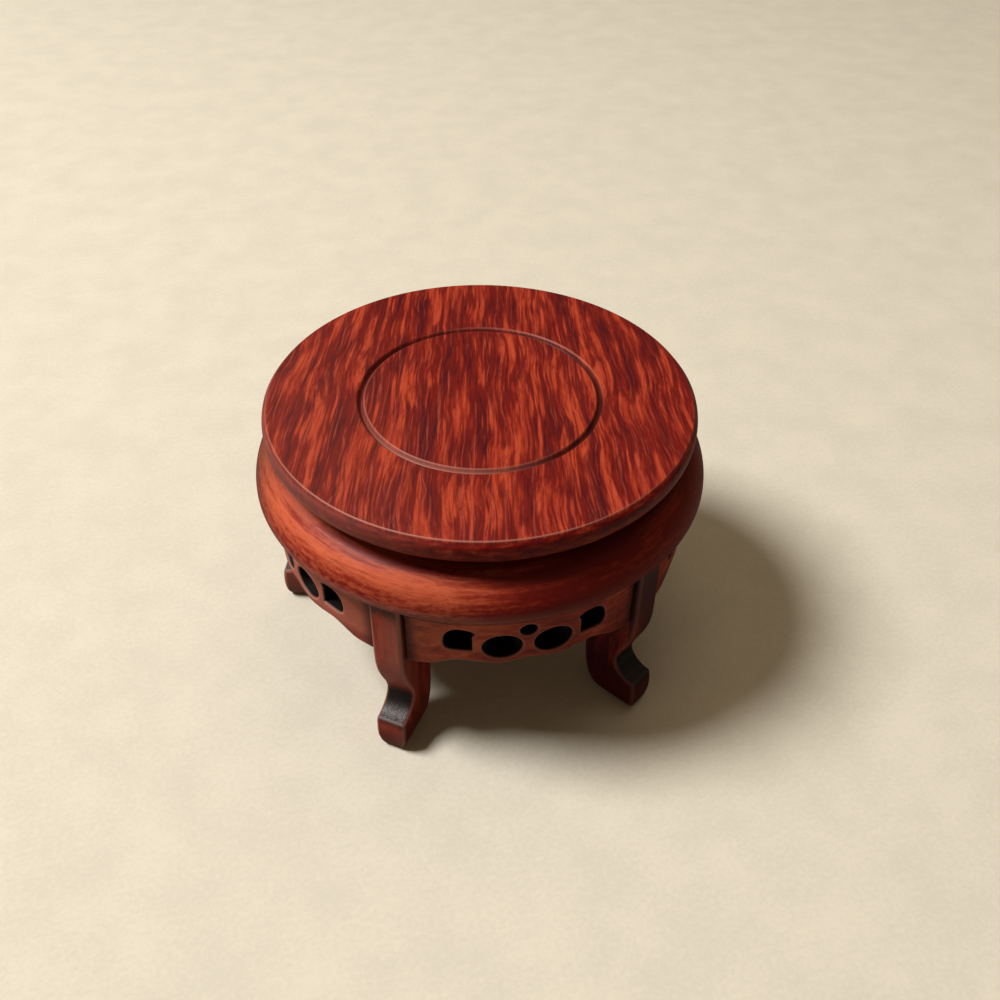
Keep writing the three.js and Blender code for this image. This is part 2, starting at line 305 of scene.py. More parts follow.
class Grain:
    """Wood fibre in three dimensions: noise drawn out along the grain, which wanders a little.

    The grain runs level at an azimuth, or "upright", or "round" the stand's axis. The seed moves
    the noise, and a fan draws the lines of a level grain together as they run.
    """

    # How far a shift moves streaks, rows of strokes, and the noise that swells them
    SHIFT_STEP = 7.3
    ROW_SHIFT_STEP = 0.37
    SWELL_SHIFT_STEP = 3.1

    # How far apart rows lie in that noise, how much it counts, and how ragged strokes are
    ROW_STEP = 5.17
    SWELL = 1.5
    RAGGEDNESS = 0.35

    def __init__(self, tree, run, seed, sway, fan=0.0):
        self.tree = tree
        self.seed = seed
        x, y, z = tree.place()
        self.height = z
        if run == "round":
            out = tree.math("SQRT", tree.math("MULTIPLY_ADD", x, x, tree.math("MULTIPLY", y, y)))
            across, through, along = z, out, (x, y)
        elif run == "upright":
            across, through, along = x, y, (z, None)
        else:
            lead = tree.total((y, math.sin(run)), (x, math.cos(run)))
            across = tree.total((x, math.sin(run)), (y, -math.cos(run)))
            through, along = z, (lead, None)
        if fan:
            across = tree.math("DIVIDE", across, tree.math("MULTIPLY_ADD", along[0], -fan, 1.0))
        self.across, self.through, self.along = across, through, along
        self.wander(wide=16, long=24, shift=0.5, amount=sway)

    def wander(self, wide, long, shift, amount):
        """Bends the grain sideways by noise, up to half an amount each way."""
        noise = self.streaks(wide, long, shift, detail=1.0, roughness=0.5)
        push = self.tree.math("MULTIPLY_ADD", noise, amount, -0.5 * amount)
        self.across = self.tree.math("ADD", self.across, push)
        self.through = self.tree.math("ADD", self.through, push)

    def streaks(self, wide, long, shift, detail=3.0, roughness=0.6):
        """Noise in streaks of a width and length. Each shift gives streaks of their own."""
        tree = self.tree
        lead, turn = self.along
        vector = tree.vector(
            tree.math("MULTIPLY", self.across, 1 / wide),
            tree.math("MULTIPLY", lead, 1 / long),
            tree.math("MULTIPLY_ADD", self.through, 1 / wide, self.seed + self.SHIFT_STEP * shift),
        )
        fourth = None if turn is None else tree.math("MULTIPLY", turn, 1 / long)
        return tree.noise(vector, 1.0, detail, roughness, fourth)

    def strokes(self, spacing, long, shift, bias, start, gain, widest, soft, ragged=None):
        """Separate strokes along the grain that swell and taper, 1 inside a stroke and 0 outside.

        They lie side by side at a spacing, and one is wide where its own noise and bias are high.
        """
        tree = self.tree
        start_cell = self.seed + self.ROW_SHIFT_STEP * shift
        cell = tree.math("MULTIPLY_ADD", self.across, 1 / spacing, start_cell)
        row = tree.math("FLOOR", cell)
        aside = tree.math("ABSOLUTE", tree.math("SUBTRACT", tree.math("FRACT", cell), 0.5))
        if ragged is not None:
            aside = tree.math("SUBTRACT", aside, 0.5 * self.RAGGEDNESS)
            aside = tree.math("MULTIPLY_ADD", ragged, self.RAGGEDNESS, aside)
        own = tree.vector(
            tree.math("MULTIPLY", row, self.ROW_STEP),
            tree.math("MULTIPLY", self.along[0], 1 / long),
            self.SWELL_SHIFT_STEP * shift,
        )
        swell = tree.math("MULTIPLY_ADD", tree.noise(own, 1.0, 1.0), self.SWELL, bias)
        width = tree.math("MULTIPLY_ADD", swell, gain, -start * gain)
        width = tree.math("MINIMUM", width, widest)
        return tree.span(tree.math("SUBTRACT", width, aside), -soft, soft)


# Colours, as linear red, green and blue
MAROON = (0.072, 0.006, 0.010)
WINE = (0.140, 0.009, 0.007)
GARNET = (0.190, 0.012, 0.008)
BRICK = (0.250, 0.017, 0.008)
FLAME = (0.400, 0.038, 0.015)
EMBER = (0.520, 0.068, 0.026)
SALMON = (0.440, 0.090, 0.055)
CORAL = (0.370, 0.036, 0.015)
RUST = (0.500, 0.066, 0.027)
COPPER = (0.620, 0.112, 0.048)
UMBER = (0.130, 0.012, 0.007)
AMBER = (0.740, 0.150, 0.062)
CRIMSON = (0.190, 0.005, 0.003)
# Pale of rubbed rims and of painted highlight, and painted light on the board's lit side
ROSE = (0.500, 0.200, 0.150)
# Black of stains, and of painted shade in corners and recesses
STAIN_AND_SHADE_BLACK = (0.010, 0.007, 0.006)
# Grey of a painted sheen on the blackened toes
GREY_SHEEN = (0.185, 0.150, 0.136)
# Brown of painted shade, and of dirt under the ring on the legs
DUSK = (0.060, 0.030, 0.024)
# Pink of a painted sheen and a painted reflection
PINK_SHEEN = (0.360, 0.140, 0.112)
PAPER = (0.850, 0.785, 0.645)
DARK_STEEL = (0.34, 0.32, 0.29)
PALE_STEEL = (0.56, 0.54, 0.51)

# Tones of the plainer woods, from dark to light
TURNED_TONES = (GARNET, CORAL, COPPER, AMBER)
APRON_TONES = (GARNET, CORAL, RUST, AMBER)
LEG_TONES = (MAROON, BRICK, CORAL, RUST)

PORE_DEPTH = 0.03
PORE_STRENGTH = 0.5

# Shares of the paper's colour: in its darkest fibre, and where light bounces off it
FLOOR_FIBRE = 0.91
FLOOR_BOUNCE = 0.32


# Wood

def varnish(tree, colour, roughness, gloss, black=STAIN_AND_SHADE_BLACK):
    """Satin lacquer over a colour, which is black where the carving is stained and where shade is
    painted in.
    """
    tree.put(tree.shader.inputs["Base Color"], tree.cover(colour, black, tree.attribute("stain_and_shade")))
    tree.put(tree.shader.inputs["Roughness"], roughness)
    tree.shader.inputs["Specular IOR Level"].default_value = gloss


def black_with_sheen(tree, arris):
    """Black with a painted, speckled grey sheen where it faces up low on the toe, and along its arris.

    The painted sheen is greyest towards the lit side of the stand.
    """
    x, y, z = tree.place()
    side = tree.toward(LIT_SIDE)
    grit = tree.noise(tree.vector(x, y, z), scale=3.6, detail=2.0, roughness=0.6)
    speck = tree.span(grit, 0.42, 0.64, 0.12, 1.0)
    low = tree.span(z, TOE_HEIGHT + 2.6, TOE_HEIGHT + 0.4, 0.15, 1.0)
    lit = tree.span(side, -35, 15, 0.15, 1.0)
    level = tree.span(tree.facing_up(), 0.5, 0.95)
    # Painted sheen on the black where it faces up low on the toe, most on the lit side
    black = tree.cover(STAIN_AND_SHADE_BLACK, GREY_SHEEN, speck, low, lit, level)
    # Painted highlight along the toe's arris
    return tree.cover(black, GREY_SHEEN, arris, tree.span(side, -35, 15, 0.10, 0.5))


def board_edge(tree, colour, height, side):
    """Below its arris the board is wine red, mottled at its edge, with a painted pink sheen on the lit
    side.
    """
    turned = Grain(tree, "round", seed=41.0, sway=1.0)
    mottled = tree.ramp(turned.streaks(wide=1.2, long=3.5, shift=1), [
        (0.34, MAROON), (0.46, CRIMSON), (0.58, BRICK), (0.74, RUST),
    ])
    below = tree.span(height, BOARD_TOP - 0.9, BOARD_TOP - 0.1, 1.0, 0.0)
    outer = tree.span(turned.through, BOARD_RADIUS - 5.0, BOARD_RADIUS - 2.5)
    # Painted sheen on the edge towards the lit side
    lit_sheen = tree.span(side, 16, BOARD_RADIUS, 0.0, 0.42)
    colour = tree.cover(colour, WINE, below, 0.7)
    colour = tree.cover(colour, mottled, below, outer)
    return tree.cover(colour, PINK_SHEEN, below, lit_sheen)


def board_strokes(grain, bias, threads):
    """Three kinds of flame, each with its strength, and two kinds of pale line."""
    flame = {"bias": bias, "ragged": threads}
    line = {"bias": 0.0, "start": 0.76, "gain": 1.0, "soft": 0.06}
    broad = grain.strokes(
        spacing=2.1, long=26, shift=11, start=1.49, gain=2.4, widest=0.42, soft=0.15, **flame,
    )
    narrow = grain.strokes(
        spacing=1.0, long=19, shift=12, start=1.53, gain=2.2, widest=0.34, soft=0.16, **flame,
    )
    grain.wander(wide=4.5, long=22, shift=2.5, amount=1.1)
    sliver = grain.strokes(
        spacing=1.3, long=19, shift=13, start=1.51, gain=2.4, widest=0.34, soft=0.15, **flame,
    )
    broken = grain.strokes(spacing=2.0, long=22, shift=14, widest=0.09, **line)
    grain.wander(wide=4.0, long=9, shift=3.5, amount=2.6)
    hair = grain.strokes(spacing=1.8, long=20, shift=15, widest=0.08, **line)
    return ((broad, 0.90), (narrow, 0.80), (sliver, 0.90)), (broken, hair)


def figured_board():
    """Dark rosewood with tapering orange-red flames and fine pale lines along the grain."""
    tree = Tree("figured_board")
    grain = Grain(tree, GRAIN_AZIMUTH, seed=2.0, sway=4.0, fan=0.0018)
    grain.wander(wide=5.5, long=26, shift=1.5, amount=1.3)
    zones = grain.streaks(wide=2.8, long=30, shift=1, detail=2.0, roughness=0.5)
    patches = grain.streaks(wide=9.0, long=28, shift=9, detail=1.0, roughness=0.5)
    threads = grain.streaks(wide=0.5, long=8.0, shift=3)
    fibre = grain.streaks(wide=0.15, long=4.0, shift=4, detail=2.0)
    side = tree.toward(LIT_SIDE)
    bias = tree.total((zones, 0.90), (patches, 0.35))
    # Painted shade: slightly fewer flames towards the shaded side
    bias = tree.math("ADD", bias, tree.span(side, -45, 20, -0.02, 0.0, smooth=False))
    flames, lines = board_strokes(grain, bias, threads)

    ground = tree.total((zones, 0.65), (threads, 0.60), (patches, 0.20))
    colour = tree.ramp(tree.span(ground, 0.53, 0.93, smooth=False), [
        (0.06, MAROON), (0.30, WINE), (0.54, GARNET), (0.84, CORAL),
    ])
    flame_colour = tree.mix(tree.span(threads, 0.38, 0.60), FLAME, EMBER)
    vein = tree.span(threads, 0.36, 0.54, 0.50, 1.0)
    for stroke, amount in flames:
        colour = tree.cover(colour, flame_colour, stroke, vein, amount)
    colour = tree.cover(colour, WINE, tree.span(fibre, 0.54, 0.70, 0, 0.45))
    # Painted light: the top is a little paler towards the lit side
    colour = tree.cover(colour, ROSE, tree.span(side, 0, BOARD_RADIUS, 0.0, 0.07))
    # Painted light: the pale lines show more towards the lit side
    faint = tree.span(threads, 0.36, 0.62, 0.08, 0.50)
    faint = tree.math("MULTIPLY", faint, tree.span(side, -40, 15, 0.35, 1.0, smooth=False))
    for stroke in lines:
        colour = tree.cover(colour, SALMON, stroke, faint)
    colour = board_edge(tree, colour, grain.height, side)
    # Pale rubbing and painted highlight on the rims, strongest towards the highlight side
    toward_highlight = tree.span(tree.toward(HIGHLIGHT_SIDE), -45, 25, 0.45, 0.85)
    colour = tree.cover(colour, ROSE, toward_highlight, tree.attribute("rim"))
    varnish(tree, colour, tree.span(threads, 0.3, 0.7, 0.38, 0.46), gloss=0.14)
    tree.bump(tree.total((threads, 0.8), (fibre, 1.0)), PORE_DEPTH, PORE_STRENGTH)
    return tree.material


class PlainWood:
    """Quieter rosewood, in four tones from dark to light, to be covered, given pale rims of rubbing and
    painted highlight, and finished.

    It is painted paler towards the lit side of the stand, as painted light, by the two shifts of tone in
    pale.
    """

    def __init__(self, name, run, seed, tones, pale=(-0.24, 0.10)):
        tree = self.tree = Tree(name)
        grain = self.grain = Grain(tree, run, seed, sway=4.0)
        grain.wander(wide=3.2, long=8, shift=1.5, amount=0.5)
        self.bands = grain.streaks(wide=2.4, long=36, shift=1)
        self.fine = grain.streaks(wide=0.55, long=12, shift=2)
        self.mottle = grain.streaks(wide=0.8, long=2.0, shift=6, roughness=0.65)
        self.fibre = grain.streaks(wide=0.16, long=4.0, shift=3, detail=2.0)
        self.cloud = grain.streaks(wide=9.0, long=30, shift=4, detail=2.0, roughness=0.5)
        self.side = tree.toward(LIT_SIDE)
        tone = tree.total((self.bands, 0.8), (self.fine, 0.25), (self.mottle, 0.25), (self.cloud, 0.3))
        # Painted light: the tone is shifted paler towards the lit side
        tone = tree.math("ADD", tone, self.sideways(-0.15, 0.72, *pale))
        positions = (0.08, 0.34, 0.58, 0.90)
        self.colour = tree.ramp(tree.span(tone, 0.55, 1.0, smooth=False), list(zip(positions, tones)))
        self.cover(tones[0], tree.span(self.fibre, 0.54, 0.72, 0, 0.65))
        self.level = tree.math("MULTIPLY_ADD", self.cloud, 3.0, tree.math("SUBTRACT", grain.height, 1.5))

    def sideways(self, start, end, low, high):
        """From low to high towards the lit side, between two shares of the ring's radius."""
        return self.tree.span(self.side, start * RING_RADIUS, end * RING_RADIUS, low, high)

    def above_ring(self, height, start, end, low=0.0, high=1.0):
        """From low to high between two heights counted from the ring's underside."""
        return self.tree.span(height, RING_BOTTOM + start, RING_BOTTOM + end, low, high)

    def cover(self, over, *amounts):
        self.colour = self.tree.cover(self.colour, over, *amounts)

    def rim_wear_and_highlight(self, amount):
        """Pale rubbing and painted highlight along the rims, most towards the lit side."""
        self.cover(ROSE, self.tree.attribute("rim"), amount, self.sideways(-0.8, 0.6, 0.15, 1.0))

    def finish(self, gloss, black=STAIN_AND_SHADE_BLACK):
        tree = self.tree
        varnish(tree, self.colour, tree.span(self.bands, 0.3, 0.7, 0.42, 0.52), gloss, black)
        tree.bump(tree.total((self.fine, 0.6), (self.fibre, 1.0)), PORE_DEPTH, PORE_STRENGTH)
        return tree.material


def waist_wood():
    wood = PlainWood("waist_wood", "round", 11.0, LEG_TONES)
    wood.rim_wear_and_highlight(0.5)
    return wood.finish(gloss=0.22)


def ring_wood():
    """The ring is crimson and mottled low down, with a painted pink reflection at its lower edge and
    painted shade under the board and at the back left.
    """
    wood = PlainWood("ring_wood", "round", 3.0, TURNED_TONES, pale=(-0.24, -0.015))
    tree = wood.tree
    ridge = wood.grain.streaks(wide=3.2, long=60, shift=5, detail=1.0, roughness=0.4)
    ridge = tree.math("ABSOLUTE", tree.math("SUBTRACT", ridge, 0.5))
    wood.cover(UMBER, tree.span(ridge, 0.0, 0.012, 0.30, 0.0))
    mottled = tree.span(wood.mottle, 0.36, 0.60, 1.0, 0.45)
    wood.cover(CRIMSON, wood.above_ring(wood.level, 8.7, 4.0), mottled)
    # Painted reflection: a pink sheen low on the ring, most on the lit side
    wood.cover(PINK_SHEEN, wood.above_ring(wood.grain.height, 4.2, 2.4), wood.sideways(-0.3, 0.8, 0.10, 0.55))
    # Painted shade just under the board
    wood.cover(UMBER, tree.span(wood.level, RING_TOP - 2.4, RING_TOP, 0.0, 0.5))
    # Painted shade towards the back left
    toward_shade = tree.toward(RING_SHADE_SIDE)
    wood.cover(DUSK, tree.span(toward_shade, 0.32 * RING_RADIUS, 0.74 * RING_RADIUS, 0.0, 0.64))
    wood.rim_wear_and_highlight(0.55)
    return wood.finish(gloss=0.16)


def apron_wood(number, run):
    """An apron has a painted sheen towards the lit side, painted shade by the ring, and painted shade by
    the legs.
    """
    wood = PlainWood(f"apron_wood_{number}", run, 15.0 + 5 * number, APRON_TONES, pale=(-0.06, 0.12))
    tree = wood.tree
    # Painted sheen towards the lit side
    streaky = tree.span(wood.fine, 0.30, 0.66, 0.6, 1.0)
    wood.cover(PINK_SHEEN, wood.sideways(0.35, 0.8, 0.04, 0.60), streaky)
    # Painted shade just under the ring
    wood.cover(DUSK, wood.above_ring(wood.level, -4.0, -1.0, high=0.5))
    wood.cover(GARNET, wood.above_ring(wood.level, -12.0, -16.0, high=0.6))
    wood.rim_wear_and_highlight(1.0)
    # Painted shade at each end, beside the legs
    half_width = APRON_RADIUS * math.sin(CLEAR_HALF_BAY)
    aside = tree.math("ABSOLUTE", tree.toward(run))
    wood.cover(STAIN_AND_SHADE_BLACK, tree.span(aside, half_width - 3.2, half_width - 0.3, 0.0, 0.70))
    return wood.finish(gloss=0.22)


def leg_wood(number, azimuth):
    """A leg is dark at its foot, with a painted sheen towards the lit side, dirt and painted shade under
    the ring, and painted shade by the apron.
    """
    wood = PlainWood(f"leg_wood_{number}", "upright", 55.0 + 5 * number, LEG_TONES, pale=(-0.25, 0.10))
    tree = wood.tree
    height = wood.grain.height
    wood.cover(UMBER, tree.span(wood.level, 12, 3, 0.0, 0.85))
    # Painted sheen towards the lit side
    wood.cover(PINK_SHEEN, wood.sideways(-0.3, 0.5, 0.0, 0.45), tree.span(wood.cloud, 0.30, 0.60))
    # Darker just under the ring, from dirt and painted shade
    mottled = tree.span(wood.mottle, 0.34, 0.62, 0.95, 0.6)
    wood.cover(DUSK, wood.above_ring(wood.level, -5.0, -1.5), mottled)
    wood.rim_wear_and_highlight(0.75)
    # Painted shade in the corner beside the apron
    out = tree.toward(azimuth)
    corner = tree.span(out, APRON_RADIUS + 1.3, APRON_RADIUS + 0.3)
    beside = wood.above_ring(height, -APRON_DEPTH - 2.5, -APRON_DEPTH, high=0.85)
    wood.cover(STAIN_AND_SHADE_BLACK, corner, beside, wood.above_ring(height, -14, -3, low=0.5))
    # The toe's arris, where a painted highlight lies
    from_toe = tree.math("ABSOLUTE", tree.math("SUBTRACT", out, TOE - 0.6))
    toe_top = tree.span(height, TOE_HEIGHT - 0.7, TOE_HEIGHT - 0.1)
    arris = tree.math("MULTIPLY", tree.span(from_toe, 0.6, 0.1), toe_top)
    return wood.finish(gloss=0.28, black=black_with_sheen(tree, arris))


# Steel and paper

def screw_steel():
    tree = Tree("screw_steel")
    x, y, z = tree.place()
    grain = tree.noise(tree.vector(x, y, z), scale=3.0, detail=3.0)
    tree.put(tree.shader.inputs["Base Color"], tree.ramp(grain, [(0.3, DARK_STEEL), (0.7, PALE_STEEL)]))
    tree.shader.inputs["Metallic"].default_value = 1
    tree.put(tree.shader.inputs["Roughness"], tree.span(grain, 0.3, 0.7, 0.35, 0.55))
    tree.bump(grain, distance=0.02, strength=0.4)
    return tree.material


def scaled(colour, share):
    return tuple(share * part for part in colour)


def paper_floor():
    """Pale paper. Light that bounces off it meets a darker one, to keep the shadows deep."""
    tree = Tree("floor_paper")
    x, y, z = tree.place()
    spot = tree.vector(x, y, z)
    cloud = tree.noise(spot, scale=0.06, detail=4.0, roughness=0.6)
    fibre = tree.noise(spot, scale=0.9, detail=3.0, roughness=0.6)
    pulp = tree.total((cloud, 0.5), (fibre, 0.5))
    colour = tree.mix(tree.span(pulp, 0.36, 0.64), scaled(PAPER, FLOOR_FIBRE), PAPER)
    path = tree.nodes.new("ShaderNodeLightPath")
    colour = tree.mix(path.outputs["Is Camera Ray"], scaled(PAPER, FLOOR_BOUNCE), colour)
    tree.put(tree.shader.inputs["Base Color"], colour)
    tree.shader.inputs["Roughness"].default_value = 0.9
    tree.shader.inputs["Specular IOR Level"].default_value = 0.2
    return tree.material


# Mesh building

TURN_STEPS = 240
SINK_STEPS = 28
ROUND_STEPS = 4
GROOVE_STEPS = 16
OVAL_STEPS = 40
CREASE = math.radians(32)
LEG_CREASE = math.radians(50)


def make_piece(name, bm, material, node, crease=CREASE):
    """Turns a shape in millimetres into a piece that stands for a CAD node.

    Edges sharper than the crease angle shade as creases.
    """
    bmesh.ops.recalc_face_normals(bm, faces=bm.faces)
    for edge in bm.edges:
        if len(edge.link_faces) == 2 and edge.calc_face_angle(0) > crease:
            edge.smooth = False
    mesh = bpy.data.meshes.new(name)
    bm.to_mesh(mesh)
    bm.free()
    mesh.transform(Matrix.Scale(MM, 4))
    mesh.materials.append(material)
    for polygon in mesh.polygons:
        polygon.use_smooth = True
    piece = bpy.data.objects.new(name, mesh)
    bpy.context.scene.collection.objects.link(piece)
    normals = piece.modifiers.new("normals", "WEIGHTED_NORMAL")
    normals.keep_sharp = True
    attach(piece, "root")
    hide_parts(node)


def layers_of(bm):
    """The layers that hold rim, pale from rubbing and painted highlight, and black, from stain and
    painted shade.
    """
    layer = bm.verts.layers.float
    return layer.new("rim"), layer.new("stain_and_shade")


def add_ring(bm, layers, corners, height, rims, stains_and_shades):
    """A closed ring of points at one height."""
    ring = []
    for (x, y), rim, stain_and_shade in zip(corners, rims, stains_and_shades):
        vert = bm.verts.new((x, y, height))
        vert[layers[0]] = rim
        vert[layers[1]] = stain_and_shade
        ring.append(vert)
    return ring


def join_rings(bm, rings):
    """Faces from each ring of points to the next. A ring may be a single point."""
    for a, b in zip(rings, rings[1:]):
        steps = max(len(a), len(b))
        for i in range(steps):
            j = (i + 1) % steps
            corners = (a[i % len(a)], a[j % len(a)], b[j % len(b)], b[i % len(b)])
            unique = list(dict.fromkeys(corners))
            if len(unique) > 2:
                bm.faces.new(unique)


def cap(bm, outlines):
    """Flat faces inside the first outline of points and outside the others."""
    verts = [vert for outline in outlines for vert in outline]
    corners = [[vert.co.xy.to_3d() for vert in outline] for outline in outlines]
    for triangle in tessellate_polygon(corners):
        bm.faces.new([verts[i] for i in triangle])


def cut_across(bm, place, normal, clear=False):
    """Cuts every face on a plane, and takes away what lies beyond it if asked."""
    bmesh.ops.bisect_plane(
        bm, geom=bm.verts[:] + bm.edges[:] + bm.faces[:], dist=TINY,
        plane_co=place, plane_no=normal, clear_outer=clear,
    )


def circle(radius, steps, centre=(0, 0)):
    angles = [2 * math.pi * i / steps for i in range(steps)]
    return [(centre[0] + radius * math.cos(a), centre[1] + radius * math.sin(a)) for a in angles]


def spin(profile):
    """A turned solid from (radius, height, rim, black) points that go round its section, black being
    stain and painted shade.

    The section is closed, unless it starts and ends on the axis.
    """
    bm = bmesh.new()
    layers = layers_of(bm)
    rings = []
    for radius, height, rim, stain_and_shade in profile:
        steps = 1 if radius < TINY else TURN_STEPS
        rings.append(add_ring(bm, layers, circle(radius, steps), height, [rim] * steps, [stain_and_shade] * steps))
    if len(rings[0]) > 1:
        rings.append(rings[0])
    join_rings(bm, rings)
    return bm


def arc(centre, wide, high, start, end, steps, rim=None, stain_and_shade=0.0):
    """Points on an ellipse, in degrees from the outward direction.

    rim(share) says how pale they are, from rubbing and painted highlight, at a share of the way along.
    """
    points = []
    for i in range(steps + 1):
        angle = math.radians(start + (end - start) * i / steps)
        x = centre[0] + wide * math.cos(angle)
        y = centre[1] + high * math.sin(angle)
        points.append((x, y, rim(i / steps) if rim else 0.0, stain_and_shade))
    return points


# Board

def board_profile():
    """From the middle of the top, through the groove and round the edge, to the middle below."""
    points = [(0, BOARD_TOP, 0, 0)]
    for i in range(GROOVE_STEPS + 1):
        share = -1 + 2 * i / GROOVE_STEPS
        depth = GROOVE_DEPTH * 0.5 * (1 + math.cos(math.pi * share))
        points.append((GROOVE_RADIUS + GROOVE_WIDTH / 2 * share, BOARD_TOP - depth, 0, 0))
    inner = BOARD_RADIUS - EDGE_ROLL
    middle = (BOARD_TOP + BOARD_BOTTOM) / 2
    half_high = (BOARD_TOP - BOARD_BOTTOM) / 2
    points += [(inner - 2.0, BOARD_TOP, 0, 0), (inner - 0.5, BOARD_TOP, 0, 0)]
    # The arris is pale, from rubbing and painted highlight
    points += arc(
        (inner + EDGE_LIP - EDGE_ARRIS, BOARD_TOP - EDGE_ARRIS), EDGE_ARRIS, EDGE_ARRIS, 90, 25, 8,
        rim=lambda share: 0.95 * math.sin(math.pi * share),
    )
    points += arc((inner, middle), EDGE_ROLL, half_high, 38, -52, 16)
    # A painted reflection along the lower edge of the roll, and painted shade on the underside
    points += [
        (inner + 0.42, BOARD_BOTTOM + 0.26, 1.0, 0), (inner + 0.1, BOARD_BOTTOM + 0.06, 1.0, 0),
        (inner - 0.3, BOARD_BOTTOM, 0.3, 0), (WAIST_RADIUS, BOARD_BOTTOM, 0, 0.6),
        (0, BOARD_BOTTOM, 0, 0.2),
    ]
    return points


def peak(value, middle, reach):
    """1 at the middle, falling evenly to 0 at a reach on either side."""
    return max(0.0, 1 - abs(value - middle) / reach)


def around(azimuth, middle, power):
    """1 at the middle azimuth and 0 from a quarter turn away. A higher power falls faster."""
    return max(0.0, math.cos(azimuth - middle)) ** power


def edge_wear_and_highlight(rim, azimuth, height):
    """Pale rubbing and painted highlight on the board's edge, with a painted sheen low on its right and
    a painted glint low on its left.
    """
    rim *= 0.08 + 0.92 * around(azimuth, EDGE_HIGHLIGHT, 1.5)
    rim += 0.60 * around(azimuth, EDGE_SHEEN, 3) * peak(height, BOARD_BOTTOM + 1.8, 1.6)
    rim += 0.95 * around(azimuth, EDGE_GLINT, 5) * peak(height, BOARD_BOTTOM + 1.5, 0.9)
    return rim


def groove_wear_highlight_shade(share, azimuth):
    """Pale and black in the groove, at a share of its half width from its middle.

    It is pale in front and on its inner lip, from rubbing and painted highlight, and has a painted
    highlight on its outer lip at the right. Elsewhere its bottom is black with painted shade, most of
    all on the shaded side.
    """
    turn = math.remainder(azimuth - FRONT_WEAR_AND_HIGHLIGHT, 2 * math.pi)
    if turn > 0:
        front = max(0.0, 1 - turn / FRONT_PALE_REACH)
    else:
        front = around(azimuth, FRONT_WEAR_AND_HIGHLIGHT, 1.5)
    right = around(azimuth, RIGHT_HIGHLIGHT, 2)
    shade = around(azimuth, GROOVE_SHADE, 2)
    inner = (1 - 0.8 * right) * (0.75 + 0.25 * front) * (1 - 0.7 * shade)
    outer = 0.4 * front + 1.1 * right * (1 - 0.6 * shade)
    rim = inner * peak(share, -0.8, 0.2) + outer * peak(share, 0.75, 0.25)
    rim += 1.05 * front * peak(share, -0.1, 0.75)
    stain_and_shade = (0.7 + 0.2 * shade) * (1 - 0.9 * front) * peak(share, 0.1, 0.5 + 0.4 * shade)
    return rim, stain_and_shade


def board_shape():
    """The turned board, with pale rubbing, painted highlight and painted shade on its edge and its
    groove, different all round.
    """
    bm = spin(board_profile())
    rim_layer, stain_and_shade_layer = [bm.verts.layers.float[name] for name in ("rim", "stain_and_shade")]
    for vert in bm.verts:
        share = (vert.co.xy.length - GROOVE_RADIUS) / (GROOVE_WIDTH / 2)
        azimuth = math.atan2(vert.co.y, vert.co.x)
        if share > 2:
            vert[rim_layer] = edge_wear_and_highlight(vert[rim_layer], azimuth, vert.co.z)
        elif abs(share) < 1 and vert.co.z > BOARD_TOP - 2 * GROOVE_DEPTH:
            vert[rim_layer], vert[stain_and_shade_layer] = groove_wear_highlight_shade(share, azimuth)
    return bm


# Waist and ring

def waist_profile():
    low = RING_TOP - WAIST_SEAT
    middle = (RING_TOP + BOARD_BOTTOM) / 2
    half_high = (BOARD_BOTTOM - RING_TOP) / 2
    bore = WAIST_RADIUS - WAIST_WALL
    # The cove is black with painted shade under the board
    cove = arc((WAIST_RADIUS, middle), -WAIST_COVE, half_high, -90, 90, 12, stain_and_shade=0.75)
    return [(bore, low, 0, 0), (WAIST_RADIUS, low, 0, 0), *cove, (bore, BOARD_BOTTOM, 0, 0)]


def ring_profile():
    """Up from the bore's foot, round the swelling, and down into the seat of the waist."""
    widest = RING_BOTTOM + RING_UNDER_RISE
    seat = WAIST_RADIUS + SEAT_ROOM
    bore = WAIST_RADIUS - WAIST_WALL
    # A pale line along the curve of the underside, a painted reflection of the floor
    under = arc(
        (RING_RADIUS - RING_UNDER_INSET, widest), RING_UNDER_INSET, RING_UNDER_RISE, -90, 0, 14,
        rim=lambda share: math.sin(math.pi * min(1.0, share * 7 / 6)),
    )
    upper = arc((seat, widest), RING_RADIUS - seat, RING_TOP - widest, 0, 90, 32)
    return [
        (bore, RING_BOTTOM, 0, 0), *under, *upper[1:],
        # Painted shade in the seat under the waist
        (seat, RING_TOP - WAIST_SEAT, 0, 0.6), (bore, RING_TOP - WAIST_SEAT, 0, 0),
    ]


def open_underside(bm):
    """Takes off the ring's flat underside, and gives its outer and inner outlines."""
    flat = [face for face in bm.faces if all(abs(v.co.z - RING_BOTTOM) < TINY for v in face.verts)]
    bmesh.ops.delete(bm, geom=flat, context="FACES_ONLY")
    loops = {}
    for edge in bm.edges:
        if edge.is_boundary:
            for vert in edge.verts:
                loops.setdefault(round(vert.co.xy.length, 2), set()).add(vert)
    return [
        sorted(loops[radius], key=lambda vert: math.atan2(vert.co.y, vert.co.x))
        for radius in (max(loops), min(loops))
    ]


